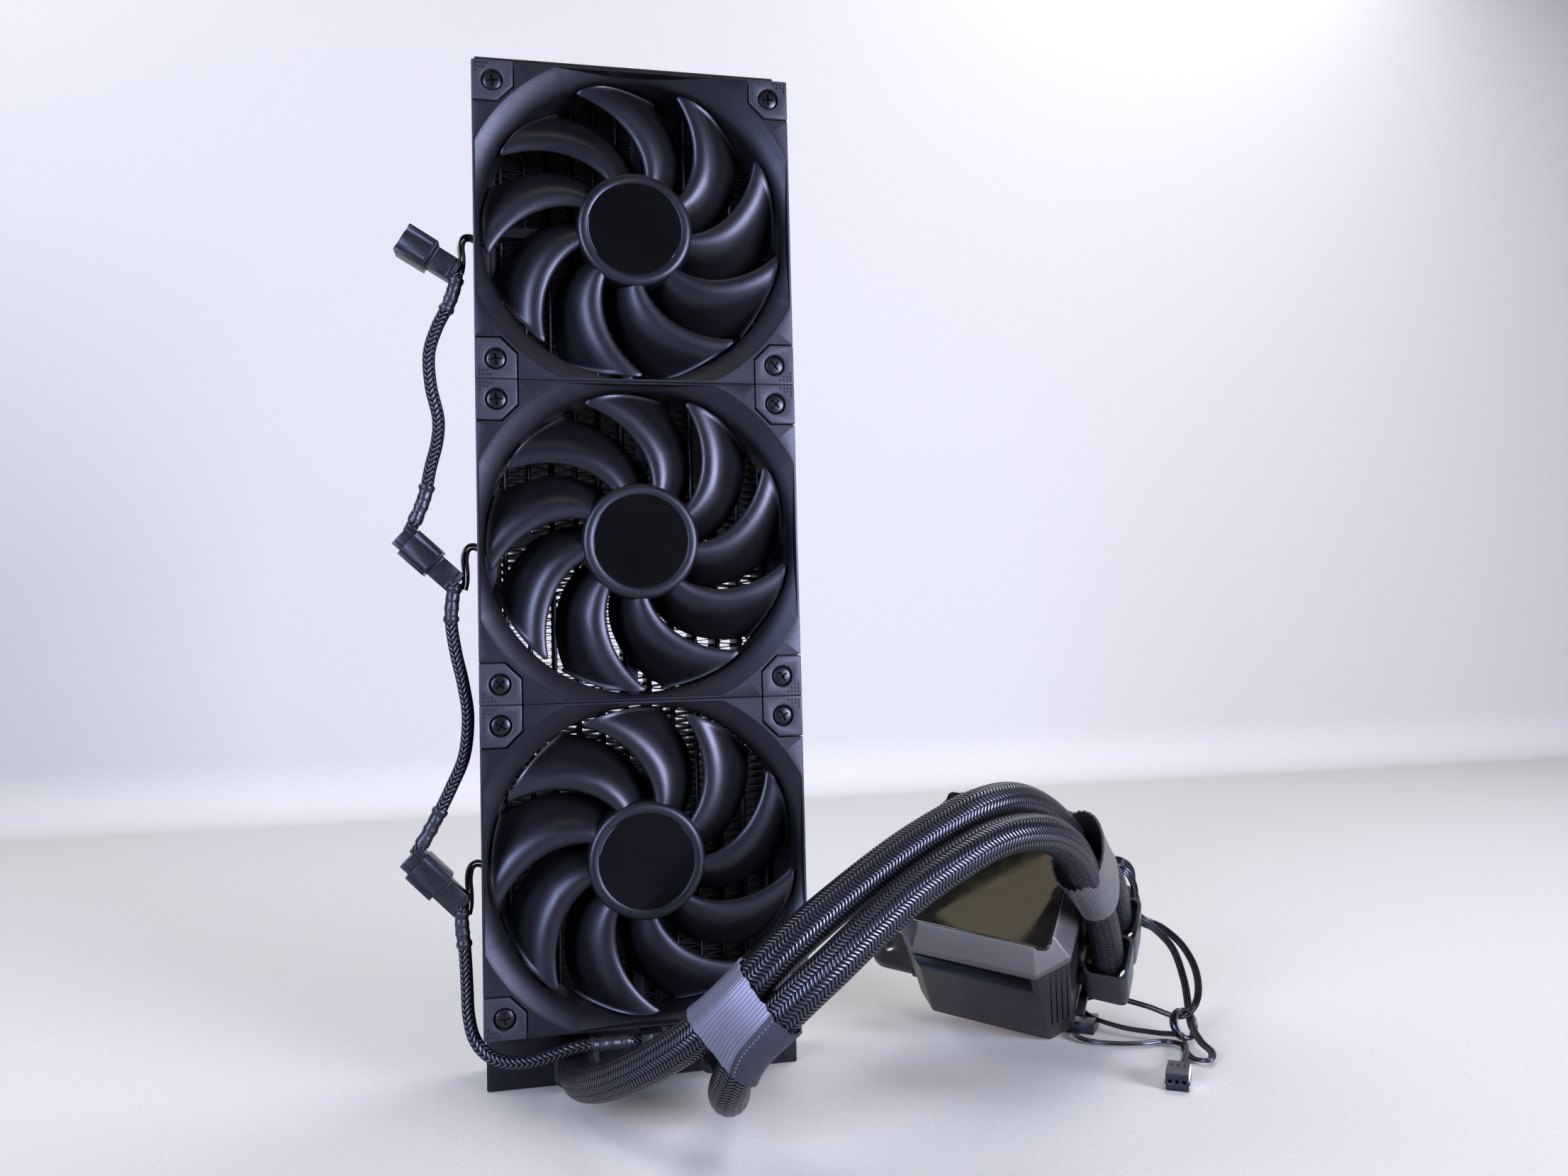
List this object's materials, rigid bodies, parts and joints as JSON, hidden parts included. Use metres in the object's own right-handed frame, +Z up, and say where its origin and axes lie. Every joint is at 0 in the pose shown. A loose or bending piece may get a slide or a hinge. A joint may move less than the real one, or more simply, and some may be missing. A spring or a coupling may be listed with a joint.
{
  "type": "liquid cooling radiator",
  "caption": "Closed-loop liquid cooler: slim upright radiator with screwed-on axial fans, sleeved hoses and a pump block with a display.",
  "frame": {"origin": "centre of the end face of the hose-end tank, on which the radiator stands", "axes": "+X to the right seen from the fans, +Y out of the radiator's back, +Z up along the radiator's length"},
  "size_m": [0.3245, 0.1823, 0.4],
  "materials": {
    "radiator_black": "satin",
    "fin_black": "matte",
    "satin_black": "satin",
    "rubber_black": "matte",
    "fan_frame_black": "fine spark grain",
    "pad_grey": "matte",
    "screw_black": "satin",
    "motor_steel": "satin",
    "copper_parts": "satin copper",
    "circuit_board": "satin",
    "bronze": "matte",
    "blade_black": "satin",
    "badge_gloss": "gloss",
    "housing_black": "matte",
    "bezel_gunmetal": "fine grain",
    "display_glass": "gloss",
    "panel_black": "matte",
    "impeller_plastic": "satin",
    "elbow_black": "satin",
    "shroud_grey": "satin",
    "hose_braid": "braided nylon",
    "band_fabric": "ribbed elastic",
    "cable_black": "satin",
    "plug_black": "satin"
  },
  "bodies": {
    "cooler": {"core_tubes": "radiator_black", "core_fins": "fin_black", "header_plates": "radiator_black", "upper_tank": "radiator_black", "lower_tank": "radiator_black", "tank_divider": "radiator_black", "side_rails": "radiator_black", "hose_barbs": "satin_black", "port_collars": "satin_black", "fill_plug": "satin_black", "plug_seal": "rubber_black", "fan_frame_top": "fan_frame_black", "fan_frame_middle": "fan_frame_black", "fan_frame_bottom": "fan_frame_black", "front_pads": "pad_grey", "rear_pads": "pad_grey", "fan_screws": "screw_black", "fan_stators": "motor_steel", "stator_coils": "copper_parts", "fan_boards": "circuit_board", "fan_bearings": "bronze", "pump_housing": "housing_black", "display_bezel": "bezel_gunmetal", "display_glass": "display_glass", "display_panel": "panel_black", "pump_board": "circuit_board", "pump_stator": "motor_steel", "pump_shaft": "motor_steel", "rotor_can": "housing_black", "jet_plate": "impeller_plastic", "cold_plate": "copper_parts", "base_gasket": "rubber_black", "base_screws": "motor_steel", "mounting_bracket": "satin_black", "elbow_front": "elbow_black", "elbow_rear": "elbow_black", "elbow_shroud_front": "shroud_grey", "elbow_shroud_rear": "shroud_grey", "elbow_seals": "rubber_black", "cable_gland": "rubber_black", "hose_left": "hose_braid", "hose_right": "hose_braid", "hose_band_lower": "band_fabric", "hose_band_upper": "band_fabric", "fan_leads": "cable_black", "fan_cables": "cable_black", "fan_sockets": "plug_black", "fan_plugs": "plug_black", "pump_leads": "cable_black", "pump_plugs": "plug_black"},
    "rotor_top": {"fan_rotor_top": "blade_black", "hub_badge_top": "badge_gloss", "motor_bell_top": "motor_steel"},
    "rotor_middle": {"fan_rotor_middle": "blade_black", "hub_badge_middle": "badge_gloss", "motor_bell_middle": "motor_steel"},
    "rotor_bottom": {"fan_rotor_bottom": "blade_black", "hub_badge_bottom": "badge_gloss", "motor_bell_bottom": "motor_steel"},
    "pump_rotor": {"pump_impeller": "impeller_plastic"}
  },
  "joints": [
    {"name": "fan_spin_top", "type": "hinge", "parent": "cooler", "child": "rotor_top", "pos_m": [0, -0.025, 0.3265], "axis": [0, -1, 0], "continuous": true},
    {"name": "fan_spin_middle", "type": "hinge", "parent": "cooler", "child": "rotor_middle", "pos_m": [0, -0.025, 0.2065], "axis": [0, -1, 0], "continuous": true},
    {"name": "fan_spin_bottom", "type": "hinge", "parent": "cooler", "child": "rotor_bottom", "pos_m": [0, -0.025, 0.0865], "axis": [0, -1, 0], "continuous": true},
    {"name": "pump_spin", "type": "hinge", "parent": "cooler", "child": "pump_rotor", "pos_m": [0.15563, 0.00077, 0.04049], "axis": [-0.3185, -0.6116, 0.7242], "continuous": true}
  ]
}
